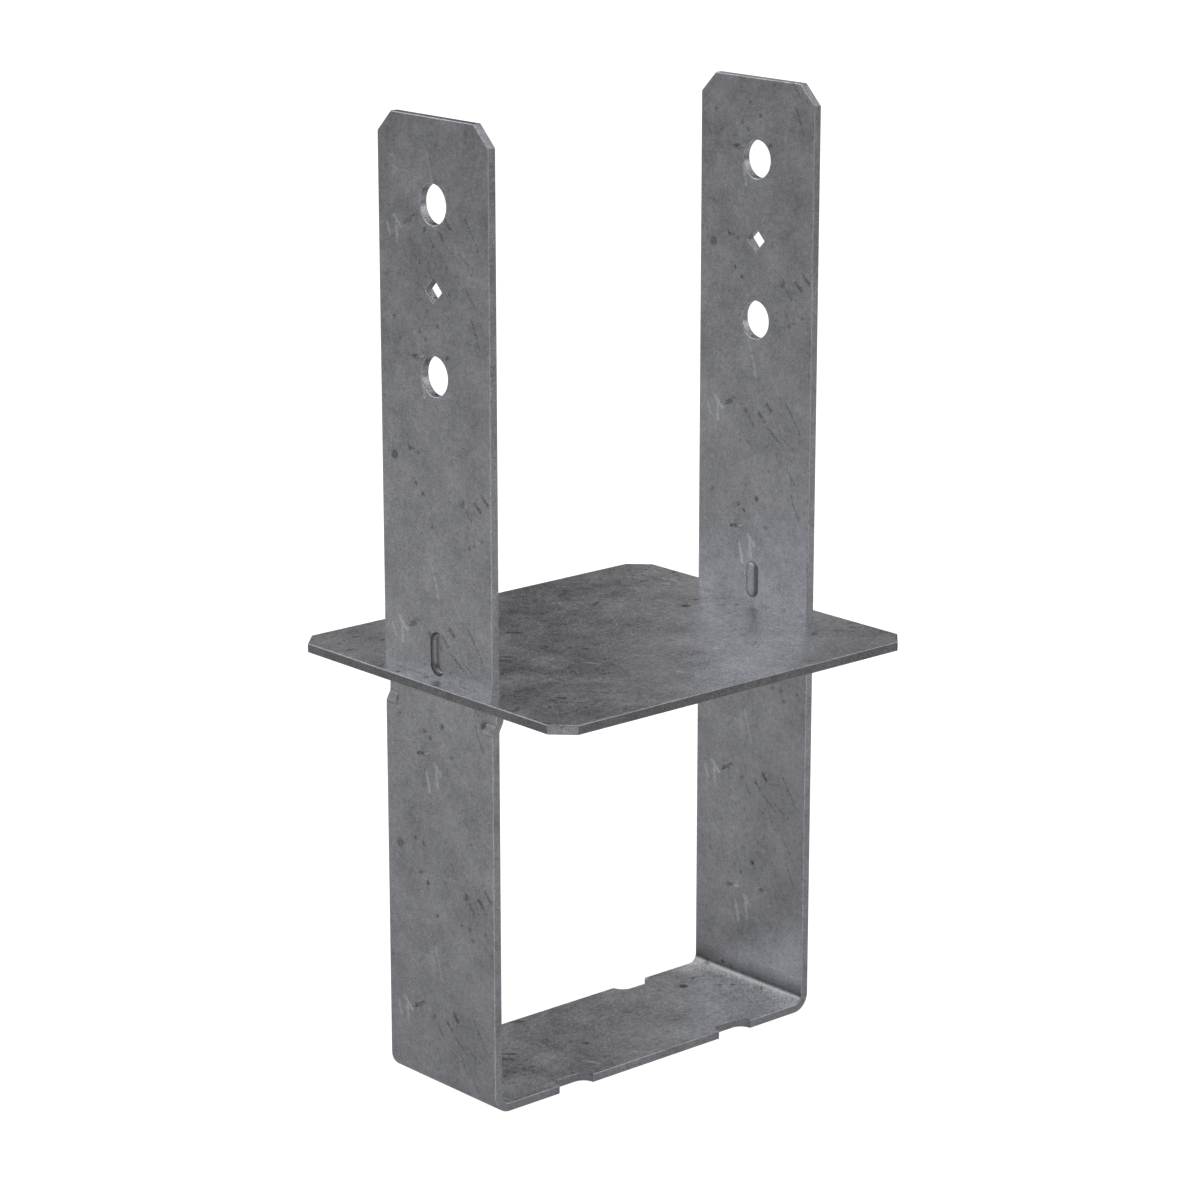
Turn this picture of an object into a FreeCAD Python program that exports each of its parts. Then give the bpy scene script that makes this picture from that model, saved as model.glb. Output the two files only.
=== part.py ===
import FreeCAD, Part
import math
import os

os.makedirs("parts", exist_ok=True)

# A timber post base: a steel strap folded into a U stands in wet concrete, and a plate that its
# legs pass through carries the foot of the post. The frame's origin is on the underside of the
# strap's web, in the middle. X runs from leg to leg, Y across the strap, and Z up.

# Strap, folded from one strip
strap_width = 76.2
strap_thickness = 4.25
strap_height = 454.0
post_gap = 191.5            # clear width between the legs
bend_inner_radius = 4.4
top_chamfer = 9.6           # clipped corners at the top of each leg
edge_break = 0.4            # small bevel on the rims of the sheared sheet and its holes

# Holes for the bolts and nails, on the middle line of each leg
bolt_hole_diameter = 18.2
bolt_hole_pitch = 76.5
bolt_hole_inset = 38.2      # from the top of the leg to the upper bolt hole
nail_hole_side = 7.9        # the square hole, turned to stand on a corner

# Notches in the long edges of the web
notch_length = 20.6
notch_depth = 5.9
notch_spacing = 101.6       # between the two notches of one edge

# Plate that the post stands on
plate_overhang = 8.7        # along X, past the outer face of each leg
plate_width = 190.1         # along Y
plate_thickness = 4.5
plate_chamfer = 9.7
plate_level = 200.2         # height of the plate's top face
slot_clearance = 0.4        # round the leg in its slot

# Pressed features that hold the plate: each is a recess in the leg's outer face
# and a smaller boss on its inner face
press_depth = 2.4
press_draft = 1.2           # how much smaller the boss is than the recess, on each side
press_round = 2.0           # rounding of the dimple's floor and of its boss's nose
dimple_length = 20.4
dimple_width = 10.2
dimple_gap = 1.4            # from the plate's top face up to the recess
shoulder_width = 9.6        # in from the strap's edge
shoulder_drop = 13.7        # from the plate's underside down to the foot of the recess
shoulder_slope = 4.0        # height of the sloping foot

# Sizes worked out from the ones above
leg_inner_x = post_gap / 2
leg_outer_x = leg_inner_x + strap_thickness
half_width = strap_width / 2
bend_outer_radius = bend_inner_radius + strap_thickness
plate_length = 2 * (leg_outer_x + plate_overhang)
plate_underside = plate_level - plate_thickness
upper_hole_level = strap_height - bolt_hole_inset
lower_hole_level = upper_hole_level - bolt_hole_pitch
nail_hole_level = (upper_hole_level + lower_hole_level) / 2
dimple_level = plate_level + dimple_gap + dimple_length / 2
cut_margin = strap_thickness    # how far a cutting tool reaches past a face
boss_root = strap_thickness / 2     # how far a boss reaches back into the sheet

# What counts as equal, and as a smooth joint between two faces
near_enough = 0.001
smooth_angle = math.radians(5)

X_AXIS = FreeCAD.Vector(1, 0, 0)
Y_AXIS = FreeCAD.Vector(0, 1, 0)
Z_AXIS = FreeCAD.Vector(0, 0, 1)
MIDDLE = FreeCAD.Vector(0, 0, 0)


def polygon_face(points):
    """A flat face with straight sides, from its corners in order."""
    return Part.Face(Part.makePolygon(points + points[:1]))


def bent_line(leg_x, web_z, radius):
    """One face of the folded strip, seen along Y, from the left leg's top round to the right's."""
    y = -half_width
    sag = radius * (1 - math.sqrt(0.5))
    left_top = FreeCAD.Vector(-leg_x, y, strap_height)
    left_bend = FreeCAD.Vector(-leg_x, y, web_z + radius)
    left_middle = FreeCAD.Vector(-leg_x + sag, y, web_z + sag)
    left_foot = FreeCAD.Vector(-leg_x + radius, y, web_z)
    right_foot = FreeCAD.Vector(leg_x - radius, y, web_z)
    right_middle = FreeCAD.Vector(leg_x - sag, y, web_z + sag)
    right_bend = FreeCAD.Vector(leg_x, y, web_z + radius)
    right_top = FreeCAD.Vector(leg_x, y, strap_height)
    return [
        Part.makeLine(left_top, left_bend),
        Part.Arc(left_bend, left_middle, left_foot).toShape(),
        Part.makeLine(left_foot, right_foot),
        Part.Arc(right_foot, right_middle, right_bend).toShape(),
        Part.makeLine(right_bend, right_top),
    ]


def folded_strip():
    """The U of the strap, with square tops, no holes and sharp edges."""
    outer = bent_line(leg_outer_x, 0, bend_outer_radius)
    inner = bent_line(leg_inner_x, strap_thickness, bend_inner_radius)
    ends = []
    for side in (-1, 1):
        outer_corner = FreeCAD.Vector(side * leg_outer_x, -half_width, strap_height)
        inner_corner = FreeCAD.Vector(side * leg_inner_x, -half_width, strap_height)
        ends.append(Part.makeLine(outer_corner, inner_corner))
    outline = Part.Wire(Part.__sortEdges__(outer + inner + ends))
    return Part.Face(outline).extrude(Y_AXIS * strap_width)


def leg_outline():
    """A block with the outline of a leg seen along X, clipped at its two upper corners."""
    reach = leg_outer_x + cut_margin
    points = [
        FreeCAD.Vector(-reach, -half_width, -cut_margin),
        FreeCAD.Vector(-reach, half_width, -cut_margin),
        FreeCAD.Vector(-reach, half_width, strap_height - top_chamfer),
        FreeCAD.Vector(-reach, half_width - top_chamfer, strap_height),
        FreeCAD.Vector(-reach, -half_width + top_chamfer, strap_height),
        FreeCAD.Vector(-reach, -half_width, strap_height - top_chamfer),
    ]
    return polygon_face(points).extrude(X_AXIS * (2 * reach))


def web_notches():
    """Four cutters with round ends, half of each lying past a long edge of the web."""
    cutters = []
    straight = notch_length / 2 - notch_depth
    height = strap_thickness + 2 * cut_margin
    for x in (-notch_spacing / 2, notch_spacing / 2):
        for y in (-half_width, half_width):
            corner = FreeCAD.Vector(x - straight, y - notch_depth, -cut_margin)
            cutters.append(Part.makeBox(2 * straight, 2 * notch_depth, height, corner))
            for end in (x - straight, x + straight):
                base = FreeCAD.Vector(end, y, -cut_margin)
                cutters.append(Part.makeCylinder(notch_depth, height, base, Z_AXIS))
    return cutters


def normal_at(face, point):
    """The face's outward direction at a point of it."""
    u, v = face.Surface.parameter(point)
    return face.normalAt(u, v)


def is_rim(solid, edge, thickness):
    """True for a sharp edge round a broad side of the sheet, and not for one across its thickness."""
    if isinstance(edge.Curve, Part.Line) and abs(edge.Length - thickness) < near_enough:
        return False
    middle = edge.valueAt((edge.FirstParameter + edge.LastParameter) / 2)
    first, second = solid.ancestorsOfType(edge, Part.Face)
    return normal_at(first, middle).getAngle(normal_at(second, middle)) > smooth_angle


def break_edges(sheet, thickness):
    """The sheet with its rims bevelled, those of its holes too."""
    solid = sheet.Solids[0]
    rims = [edge for edge in solid.Edges if is_rim(solid, edge, thickness)]
    return solid.makeChamfer(edge_break, rims)


def bolt_holes():
    """Two bores along X, each through both legs."""
    reach = leg_outer_x + cut_margin
    bores = []
    for level in (lower_hole_level, upper_hole_level):
        start = FreeCAD.Vector(-reach, 0, level)
        bores.append(Part.makeCylinder(bolt_hole_diameter / 2, 2 * reach, start, X_AXIS))
    return bores


def nail_hole():
    """A square bore along X through both legs, turned to stand on a corner."""
    reach = leg_outer_x + cut_margin
    half_diagonal = nail_hole_side / math.sqrt(2)
    points = []
    for turn in range(4):
        angle = turn * math.pi / 2
        y = half_diagonal * math.cos(angle)
        z = nail_hole_level + half_diagonal * math.sin(angle)
        points.append(FreeCAD.Vector(-reach, y, z))
    return polygon_face(points).extrude(X_AXIS * (2 * reach))


def round_ended_block(x, length, width, level, depth, reach):
    """An upright block with round ends and a rounded nose, from x + reach inward to x - depth."""
    straight = length - width
    low = level - straight / 2
    tip = x - depth
    block = Part.makeBox(depth + reach, width, straight, FreeCAD.Vector(tip, -width / 2, low))
    for end in (low, low + straight):
        centre = FreeCAD.Vector(tip, 0, end)
        block = block.fuse(Part.makeCylinder(width / 2, depth + reach, centre, X_AXIS))
    block = block.removeSplitter()
    nose = [edge for edge in block.Edges if edge.BoundBox.XMax < x - depth + near_enough]
    return block.makeFillet(press_round, nose)


def dimple_recess():
    """Cutter for the recess in the right leg's outer face."""
    return round_ended_block(leg_outer_x, dimple_length, dimple_width, dimple_level,
                             press_depth, cut_margin)


def dimple_boss():
    """The boss that the dimple raises on the right leg's inner face."""
    length = dimple_length - 2 * press_draft
    width = dimple_width - 2 * press_draft
    return round_ended_block(leg_inner_x, length, width, dimple_level, press_depth, boss_root)


def shoulder_blocks(x, width, drop, reach, overhang):
    """Two blocks with a sloping foot, under the plate at the edges of the right leg."""
    foot = plate_underside - drop
    outline = polygon_face([
        FreeCAD.Vector(x + reach, 0, plate_underside),
        FreeCAD.Vector(x - press_depth, 0, plate_underside),
        FreeCAD.Vector(x - press_depth, 0, foot + shoulder_slope),
        FreeCAD.Vector(x, 0, foot),
        FreeCAD.Vector(x + reach, 0, foot),
    ])
    blocks = []
    for side in (-1, 1):
        block = outline.extrude(Y_AXIS * (side * (width + overhang)))
        block.translate(Y_AXIS * (side * (half_width - width)))
        blocks.append(block)
    return blocks


def shoulder_recesses():
    """Cutters for the shoulders' recesses in the right leg's outer face."""
    return shoulder_blocks(leg_outer_x, shoulder_width, shoulder_drop, cut_margin, cut_margin)


def shoulder_bosses():
    """The bosses on the right leg's inner face, whose tops carry the plate."""
    width = shoulder_width - press_draft
    drop = shoulder_drop - press_draft
    return shoulder_blocks(leg_inner_x, width, drop, boss_root, 0)


def both_legs(solids):
    """The solids of the right leg and their mirror images on the left leg."""
    mirrored = [solid.mirror(MIDDLE, X_AXIS) for solid in solids]
    return solids + mirrored


def make_strap():
    """The folded strap with its clipped tops, notches, holes and pressed features."""
    strap = folded_strip().common(leg_outline())
    strap = strap.cut(web_notches())
    strap = strap.cut(bolt_holes())
    strap = strap.cut(nail_hole())
    strap = break_edges(strap, strap_thickness)
    strap = strap.fuse(both_legs([dimple_boss()] + shoulder_bosses()))
    strap = strap.cut(both_legs([dimple_recess()] + shoulder_recesses()))
    return strap.removeSplitter()


def plate_outline():
    """The plate's lower face, with its four corners clipped."""
    long_x, short_x = plate_length / 2, plate_length / 2 - plate_chamfer
    long_y, short_y = plate_width / 2, plate_width / 2 - plate_chamfer
    corners = [
        (short_x, -long_y), (long_x, -short_y), (long_x, short_y), (short_x, long_y),
        (-short_x, long_y), (-long_x, short_y), (-long_x, -short_y), (-short_x, -long_y),
    ]
    return polygon_face([FreeCAD.Vector(x, y, plate_underside) for x, y in corners])


def leg_slots():
    """A cutter for each leg's slot, the leg's own section with a clearance round it."""
    width_x = strap_thickness + 2 * slot_clearance
    width_y = strap_width + 2 * slot_clearance
    height = plate_thickness + 2 * cut_margin
    slots = []
    for side in (-1, 1):
        middle = side * (leg_inner_x + leg_outer_x) / 2
        corner = FreeCAD.Vector(middle - width_x / 2, -width_y / 2, plate_underside - cut_margin)
        slots.append(Part.makeBox(width_x, width_y, height, corner))
    return slots


def make_plate():
    """The flat plate with clipped corners and a slot for each leg."""
    plate = plate_outline().extrude(Z_AXIS * plate_thickness)
    return break_edges(plate.cut(leg_slots()), plate_thickness)


make_strap().exportStep("parts/strap.step")
make_plate().exportStep("parts/plate.step")
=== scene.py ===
"""Galvanised timber post base: a strap folded into a U, and the plate that the post stands on.

Each operator builds one piece, or the stage, in metres and in the frame of the packed solids.
Both pieces are sheets. A sheet is laid out flat by two measures, along and across, and by its
depth from the outer face, and then it is put in place by one function of the three.
"""

import math

import bmesh
import bpy
import numpy as np
from bpy.props import FloatProperty, FloatVectorProperty, PointerProperty
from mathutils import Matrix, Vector


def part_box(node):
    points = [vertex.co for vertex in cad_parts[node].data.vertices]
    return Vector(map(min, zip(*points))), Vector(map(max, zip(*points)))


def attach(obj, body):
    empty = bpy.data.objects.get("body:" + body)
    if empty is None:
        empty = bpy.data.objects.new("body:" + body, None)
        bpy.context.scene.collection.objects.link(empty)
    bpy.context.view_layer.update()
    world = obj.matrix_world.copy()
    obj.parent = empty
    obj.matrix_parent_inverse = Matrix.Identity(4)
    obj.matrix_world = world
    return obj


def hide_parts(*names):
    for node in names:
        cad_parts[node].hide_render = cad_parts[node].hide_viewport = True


bl_info = {
    "name": "Timber Post Base",
    "version": (1, 0, 0),
    "blender": (4, 5, 0),
    "location": "View3D > Sidebar > Post Base",
    "description": "Builds a galvanised timber post base over its packed solids",
    "category": "Object",
}

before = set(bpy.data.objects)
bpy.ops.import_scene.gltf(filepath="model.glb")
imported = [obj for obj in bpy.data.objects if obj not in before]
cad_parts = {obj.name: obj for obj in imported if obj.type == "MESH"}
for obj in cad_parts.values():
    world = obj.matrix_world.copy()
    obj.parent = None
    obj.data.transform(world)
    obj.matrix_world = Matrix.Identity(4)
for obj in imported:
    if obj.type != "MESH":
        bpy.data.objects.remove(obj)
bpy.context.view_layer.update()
STRAP_LOW, STRAP_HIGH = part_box("strap")
PLATE_LOW, PLATE_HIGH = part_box("plate")

MM = 0.001
HOLD = 0.3 * MM             # narrow row beside a rounded edge, which keeps the broad face flat
RING = 80                   # points round a hole or dimple
SIDE = RING // 4            # steps along each side of the square cell round it
CAP = 13                    # steps in a quarter of a dimple's round end
HOLE_SHARES = (0, 0.4, 0.75, 1)     # where the rings between a cell's side and a hole lie
DIMPLE_SHARES = (0, 0.35, 0.7)      # and those between it and a dimple
CROWN_SHARES = (0.9, 0.6, 0.3, 0)   # and those on a dimple's crown, from its middle line
WALL_RINGS = 9              # rings on a dimple's wall
LIP_COLUMNS = 7             # columns on the wall beside a shoulder
ARC_ROWS = 11               # rows on a notch's arc, and on a bend
ARRIS_ROWS = 5              # rows round an arris
ROW_STEP = 8 * MM           # longest cell along the strap
COLUMN_STEP = 4 * MM        # and across it
FOOT_STEP = 0.45 * MM       # height of the rows on a shoulder's foot
PLATE_STEP = 12 * MM        # longest cell of the plate
WELD = 0.002 * MM           # distance within which points are joined
SMOOTH_LIMIT = math.radians(30)

SQUASH = 2.2                # how much flatter than wide the sky's soft patches are
GLOW_EDGE = (1.0, 0.3)      # shares of its reach at which a patch starts and is full
GLOWS = (                   # the patches' bearing and height in degrees, and their reach
    (-165, 18, 0.7), (-125, 18, 0.7), (-165, 38, 0.8), (-120, 38, 0.8), (-60, 20, 0.8),
    (10, 12, 0.8), (60, 20, 0.8), (110, 30, 0.8), (160, 40, 0.4), (-150, 4, 0.5), (0, 40, 0.8),
    (60, 65, 1.2), (-120, 65, 1.2),
)
FLOOR_SIZE = 40.0           # metres, as are the next four
BOUNCE_RINGS = (0.1, 0.4, 1.0, 3.0)     # from the middle to where the floor's glow is given
STRIP_DISTANCE = 1.0        # from the middle to the strip lights behind it
STRIP_HEIGHT = 0.8
STRIP_EDGES = (-0.35, -0.12, -0.04, 0.04, 0.22)     # to the camera's right


def number(name, description, default, **more):
    """A number in the sidebar."""
    return FloatProperty(name=name, description=description, default=default, **more)


def length(name, description, default):
    """A size in metres, shown with a unit."""
    return number(name, description, default, min=0.0, unit="LENGTH", precision=5)


def factor(name, description, default, top=1.0):
    """A share or a tone, shown as a slider."""
    return number(name, description, default, min=0.0, max=top, subtype="FACTOR")


def numbers(name, description, default, **more):
    """A colour, or a brightness for each of several lights."""
    return FloatVectorProperty(name=name, description=description, default=default,
                               size=len(default), min=0.0, **more)


class StrapSizes(bpy.types.PropertyGroup):
    """Sizes of the folded strap."""

    width: length("Width", "Across the strap", STRAP_HIGH.y - STRAP_LOW.y)
    height: length("Height", "From the web's underside to the legs' tops", STRAP_HIGH.z)
    reach: length("Reach", "From the middle to a leg's outer face", STRAP_HIGH.x)
    thickness: length("Thickness", "Thickness of the sheet", 4.25 * MM)
    bend_radius: length("Bend radius", "Inner radius of the two bends", 4.4 * MM)
    edge_radius: length("Edge radius", "Rounding of the sheared edges", 0.45 * MM)
    top_clip: length("Clipped corner", "Cut off each leg's upper corners", 9.6 * MM)
    notch_length: length("Notch length", "Length of a notch in the web's edge", 20.6 * MM)
    notch_depth: length("Notch depth", "Depth of a notch in the web's edge", 5.9 * MM)
    notch_spacing: length("Notch spacing", "Between the notches of one edge", 101.6 * MM)


class HoleSizes(bpy.types.PropertyGroup):
    """Sizes of the holes in the strap's legs."""

    bolt_diameter: length("Bolt hole", "Diameter of a bolt hole", 18.2 * MM)
    bolt_pitch: length("Pitch", "Between the two bolt holes of a leg", 76.5 * MM)
    bolt_inset: length("Inset", "From the leg's top to the upper bolt hole", 38.2 * MM)
    nail_side: length("Nail hole", "Side of the square hole on its corner", 7.9 * MM)
    cell: length("Cell", "Half the side of the square patch round a hole", 14 * MM)


class PressSizes(bpy.types.PropertyGroup):
    """Sizes of the shoulders and dimples that are pressed into the legs and hold the plate."""

    depth: length("Depth", "How far the sheet is pushed in", 2.4 * MM)
    draft: length("Draft", "How much smaller the inner side is, all round", 1.2 * MM)
    dimple_length: length("Dimple length", "Upright length of a dimple", 20.4 * MM)
    dimple_width: length("Dimple width", "Width of a dimple", 10.2 * MM)
    dimple_round: length("Dimple rounding", "Width of a dimple's curved wall", 1.6 * MM)
    crown: factor("Crown", "Height of a dimple's crown over its depth", 0.55)
    crown_round: length("Crown rounding", "Width of the curved wall of its crown", 3.5 * MM)
    dimple_gap: length("Dimple gap", "From the plate up to a dimple", 1.4 * MM)
    shoulder_width: length("Shoulder width", "In from the strap's edge", 9.6 * MM)
    shoulder_drop: length("Shoulder drop", "From the plate down to its foot", 14.7 * MM)
    shoulder_slope: length("Shoulder slope", "Height of the sloping foot", 6.0 * MM)
    shoulder_lip: length("Shoulder lip", "Width of the wall beside a shoulder", 3.4 * MM)
    # The residue on ledges is painted shade that dims the highlight on upward-facing pressed
    # slopes
    steep: number("Steep", "Rise at which a ledge is full of residue", 0.5, min=0.01)
    dimple_painted_shade: factor("Dimple residue", "Residue in a dimple over a shoulder's", 0.55)
    shear: length("Shear", "Height lost in the torn edge under the plate", 0.25 * MM)


class PlateSizes(bpy.types.PropertyGroup):
    """Sizes of the plate."""

    width: length("Width", "Across the plate", PLATE_HIGH.y - PLATE_LOW.y)
    reach: length("Reach", "From the middle to the plate's end", PLATE_HIGH.x)
    level: length("Level", "Height of the plate's top face", PLATE_HIGH.z)
    thickness: length("Thickness", "Thickness of the plate", PLATE_HIGH.z - PLATE_LOW.z)
    edge_radius: length("Edge radius", "Rounding of the sheared edges", 0.5 * MM)
    clip: length("Clipped corner", "Cut off each corner", 9.7 * MM)
    slot_clearance: length("Slot clearance", "Gap round a leg in its slot", 0.05 * MM)
    slot_radius: length("Slot radius", "Rounding of the slots' edges", 0.15 * MM)


class FinishLook(bpy.types.PropertyGroup):
    """Colours and gloss of the dipped zinc, and of its marks."""

    zinc: numbers("Zinc", "Colour of the zinc skin", (0.438, 0.442, 0.469), subtype="COLOR",
                  max=1.0)
    roughness: factor("Roughness", "Dullness of the zinc skin", 0.33)
    metallic: factor("Metallic", "How much it shines as a metal", 1.0)
    cloud: factor("Clouds", "Strength of the broad mottling", 0.27)
    grain: factor("Grain", "Strength of the fine grain", 0.2)
    marks: factor("Marks", "Strength of pits and scuffs", 0.65)
    pitting: factor("Pitting", "Strength of the pits in cut edges", 0.2)
    # Paler upright arrises are a painted highlight along the edges, and wear as well
    strap_wear_and_highlight: factor("Strap wear", "How much paler its upright arrises are", 0.6)
    # The residue is painted shade, and the pale pool of zinc beside the bend is painted light
    painted_shade_and_light: factor("Residue", "How much residue darkens, and a pool of zinc is paler", 0.65)
    # Lowers the metal share where that painted light lies, so that it reads paler still
    painted_light_dullness: factor("Frost", "How dull the pool of zinc beside the bend is", 0.7)
    plate_edge: factor("Plate edge", "Tone of the plate's cut edges", 0.52)
    plate_clip: factor("Plate clip", "Tone of its clipped corners", 1.15, 2.0)
    strap_edge: factor("Strap edge", "Tone of the strap's cut edges", 1.0, 2.0)


class StageLook(bpy.types.PropertyGroup):
    """Camera, floor and lights."""

    azimuth: number("Azimuth", "Camera's bearing round the object", math.radians(-41.538),
                    subtype="ANGLE")
    elevation: number("Elevation", "Camera's height above level", math.radians(15.404),
                      subtype="ANGLE")
    distance: length("Distance", "From the camera to the plate's middle", 1.756476)
    lens: number("Lens", "Focal length in millimetres", 112.61, min=1.0,
                 subtype="DISTANCE_CAMERA")
    shift_right: number("Right", "Camera's move to its right", -1.813 * MM, unit="LENGTH",
                        precision=5)
    shift_up: number("Up", "Camera's move upwards", 17.999 * MM, unit="LENGTH", precision=5)
    floor: numbers("Floor", "Colour of the floor", (0.3, 0.3, 0.3), subtype="COLOR", max=1.0)
    white: number("White", "Brightness that the camera sees around it", 1.0, min=0.0)
    haze: number("Haze", "Even brightness of the sky", 0.012, min=0.0)
    glows: numbers("Glows", "Brightness of the sky's soft patches",
                   (0.71, 1.47, 0.17, 0.45, 0.44, 0.7, 1.05, 0.1, 1.3, 0.31, 0.27, 0.62, 0.27))
    bounce: numbers("Bounce", "Brightness of the floor from near to far", (0.21, 0.21, 0.32, 0.0))
    strips: numbers("Strips", "Brightness of the strip lights", (0.25, 0.0, 0.11, 0.37))


# Sheets: patches of points on a grid, joined and welded into a closed shell


def filled(marks, step):
    """Sorted positions, with others evenly between two that are more than a step apart."""
    marks = np.unique(np.round(marks, 9))
    runs = [np.linspace(a, b, math.ceil((b - a) / step), endpoint=False)
            for a, b in zip(marks[:-1], marks[1:])]
    return np.concatenate(runs + [marks[-1:]])


def both_sides(marks, step):
    """The same on both sides of the middle."""
    right = filled(marks, step)
    return np.concatenate([-right[:0:-1], right])


def eased(value):
    """Rises from 0 to 1 along 3v^2 - 2v^3, level at both ends."""
    value = np.clip(value, 0, 1)
    return value * value * (3 - 2 * value)


def border(grid):
    """The points round the edge of a grid, counter-clockwise and each once."""
    return np.concatenate([grid[:, 0], grid[-1, 1:], grid[-2::-1, -1], grid[0, -2:0:-1]])


def patch(points, rim=None, keep=None):
    """A grid of points as vertices, their rim values, and the four-sided faces between them."""
    rows, columns = points.shape[:2]
    index = np.arange(rows * columns).reshape(rows, columns)
    faces = np.stack([index[:-1, :-1], index[1:, :-1], index[1:, 1:], index[:-1, 1:]], axis=-1)
    faces = faces.reshape(-1, 4) if keep is None else faces[keep]
    if rim is None:
        rim = np.zeros((rows, columns))
    return points.reshape(-1, 3), np.broadcast_to(rim, (rows, columns)).ravel(), faces


def sheet_grid(rows, half, shares, half_widths, middle):
    """Points of a flat sheet, and a mask that keeps all its cells. Each row has given points in
    its middle, and on both sides shares of the way from there to the row's half width."""
    reach = half + shares * (half_widths[:, None] - half)
    middle = np.broadcast_to(middle, (len(rows), len(middle)))
    across = np.hstack([-reach[:, ::-1], middle, reach])
    grid = np.stack([np.broadcast_to(rows[:, None], across.shape), across], axis=-1)
    return grid, np.ones((grid.shape[0] - 1, grid.shape[1] - 1), bool)


def clipped_half_width(sheet, end, clip, along):
    """Half a sheet's width, an edge radius inside its outline: the lesser of the straight side
    and the clipped corner's slanting line."""
    slant = sheet.width / 2 + end - clip - sheet.edge_radius * math.sqrt(2) - np.abs(along)
    return np.minimum(sheet.width / 2 - sheet.edge_radius, slant)


def clip_start(sheet, end, clip):
    """Where the slanting line leaves the straight side."""
    return end - clip + sheet.edge_radius * (1 - math.sqrt(2))


def face_patches(grid, keep, thickness, place):
    """Both faces of a sheet, with the cells that are kept."""
    return [patch(place(grid[..., 0], grid[..., 1], depth), keep=keep) for depth in (0, thickness)]


def edge_patch(loop, radius, thickness, place):
    """The rounded edge of a sheet, carried along a closed outline that has the sheet on its left.

    Its section is a quarter circle, a straight wall and a quarter circle. At each point the
    section points along the mitre, the sum of the two neighbouring edges' unit normals times
    two over the square of its length, so that every stretch keeps its distance."""
    ahead = np.roll(loop, -1, axis=0) - loop
    ahead /= np.linalg.norm(ahead, axis=1, keepdims=True)
    normal = np.stack([ahead[:, 1], -ahead[:, 0]], axis=-1)
    mitre = normal + np.roll(normal, 1, axis=0)
    mitre *= 2 / np.sum(mitre * mitre, axis=1, keepdims=True)
    turn = np.linspace(0, math.pi / 2, ARRIS_ROWS)
    out = np.concatenate([radius * np.sin(turn), [radius]])
    deep = np.concatenate([radius * (1 - np.cos(turn)), [radius + HOLD]])
    tone = np.concatenate([turn / turn[-1], [1]])
    out = np.concatenate([out, out[::-1]])[:, None]
    deep = np.concatenate([deep, thickness - deep[::-1]])[:, None]
    tone = np.concatenate([tone, tone[::-1]])[:, None]
    loop, mitre = np.vstack([loop, loop[:1]]), np.vstack([mitre, mitre[:1]])
    points = place(loop[:, 0] + out * mitre[:, 0], loop[:, 1] + out * mitre[:, 1], deep)
    return patch(points, tone)


def add_object(name, data):
    """A new object in the scene, at the origin."""
    added = bpy.data.objects.new(name, data)
    bpy.context.scene.collection.objects.link(added)
    return added


def make_piece(name, patches, material):
    """Joins the patches, welds their seams and poles, and turns the faces outwards."""
    starts = np.cumsum([0] + [len(points) for points, rim, faces in patches[:-1]])
    points = np.concatenate([points for points, rim, faces in patches])
    rims = np.concatenate([rim for points, rim, faces in patches])
    faces = np.concatenate([p[2] + start for p, start in zip(patches, starts)])
    mesh = bpy.data.meshes.new(name)
    mesh.from_pydata(points.tolist(), [], faces.tolist())
    mesh.attributes.new("rim", "FLOAT", "POINT").data.foreach_set("value", rims)
    shell = bmesh.new()
    shell.from_mesh(mesh)
    bmesh.ops.remove_doubles(shell, verts=shell.verts, dist=WELD)
    bmesh.ops.recalc_face_normals(shell, faces=shell.faces)
    open_edges = sum(1 for edge in shell.edges if not edge.is_manifold)
    if open_edges or shell.calc_volume(signed=True) <= 0:
        raise RuntimeError(f"{name} isn't a closed shell: {open_edges} open edges")
    shell.to_mesh(mesh)
    shell.free()
    mesh.shade_smooth()
    mesh.set_sharp_from_angle(angle=SMOOTH_LIMIT)
    mesh.materials.append(material)
    return add_object(name, mesh)


# Rings that fill the square cell round a hole or dimple. All run round once from the middle of
# the cell's far side, in the same number of steps, so that neighbouring rings match


def straight_runs(corners, along, across):
    """Points on the straight runs between corners that stand at given steps."""
    step = np.arange(RING + 1)
    return np.stack([np.interp(step, corners, along), np.interp(step, corners, across)], axis=-1)


def square_ring(half):
    """The cell's outline."""
    corners = np.array([0, 0.5, 1.5, 2.5, 3.5, 4]) * SIDE
    return straight_runs(corners, np.array([1, 1, -1, -1, 1, 1]) * half,
                         np.array([0, 1, 1, -1, -1, 0]) * half)


def round_ring(radius):
    """A circle: the cosine and sine of an even turn, times the radius."""
    turn = np.linspace(0, 2 * math.pi, RING + 1)
    return radius * np.stack([np.cos(turn), np.sin(turn)], axis=-1)


def diamond_ring(half_diagonal):
    """A square on its corner."""
    return straight_runs(np.arange(5) * SIDE, np.array([1, 0, -1, 0, 1]) * half_diagonal,
                         np.array([0, 1, 0, -1, 0]) * half_diagonal)


def stadium_rings(half_line, distances):
    """Rings at given distances from a middle line: a point of the line, plus the distance
    times a direction that turns only while the point stands at an end of the line."""
    ends = np.array([0, CAP, 2 * SIDE - CAP, 2 * SIDE + CAP, 4 * SIDE - CAP, 4 * SIDE])
    turn = np.interp(np.arange(RING + 1), ends, np.array([0, 1, 1, 3, 3, 4]) * math.pi / 2)
    line = straight_runs(ends, np.array([1, 1, -1, -1, 1, 1]) * half_line, np.zeros(len(ends)))
    direction = np.stack([np.cos(turn), np.sin(turn)], axis=-1)
    return line + np.asarray(distances)[:, None, None] * direction


def blended_rings(first, last, shares):
    """Rings between two rings, each a share of the way from the first to the last."""
    shares = np.asarray(shares)[:, None, None]
    return first * (1 - shares) + last * shares


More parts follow.
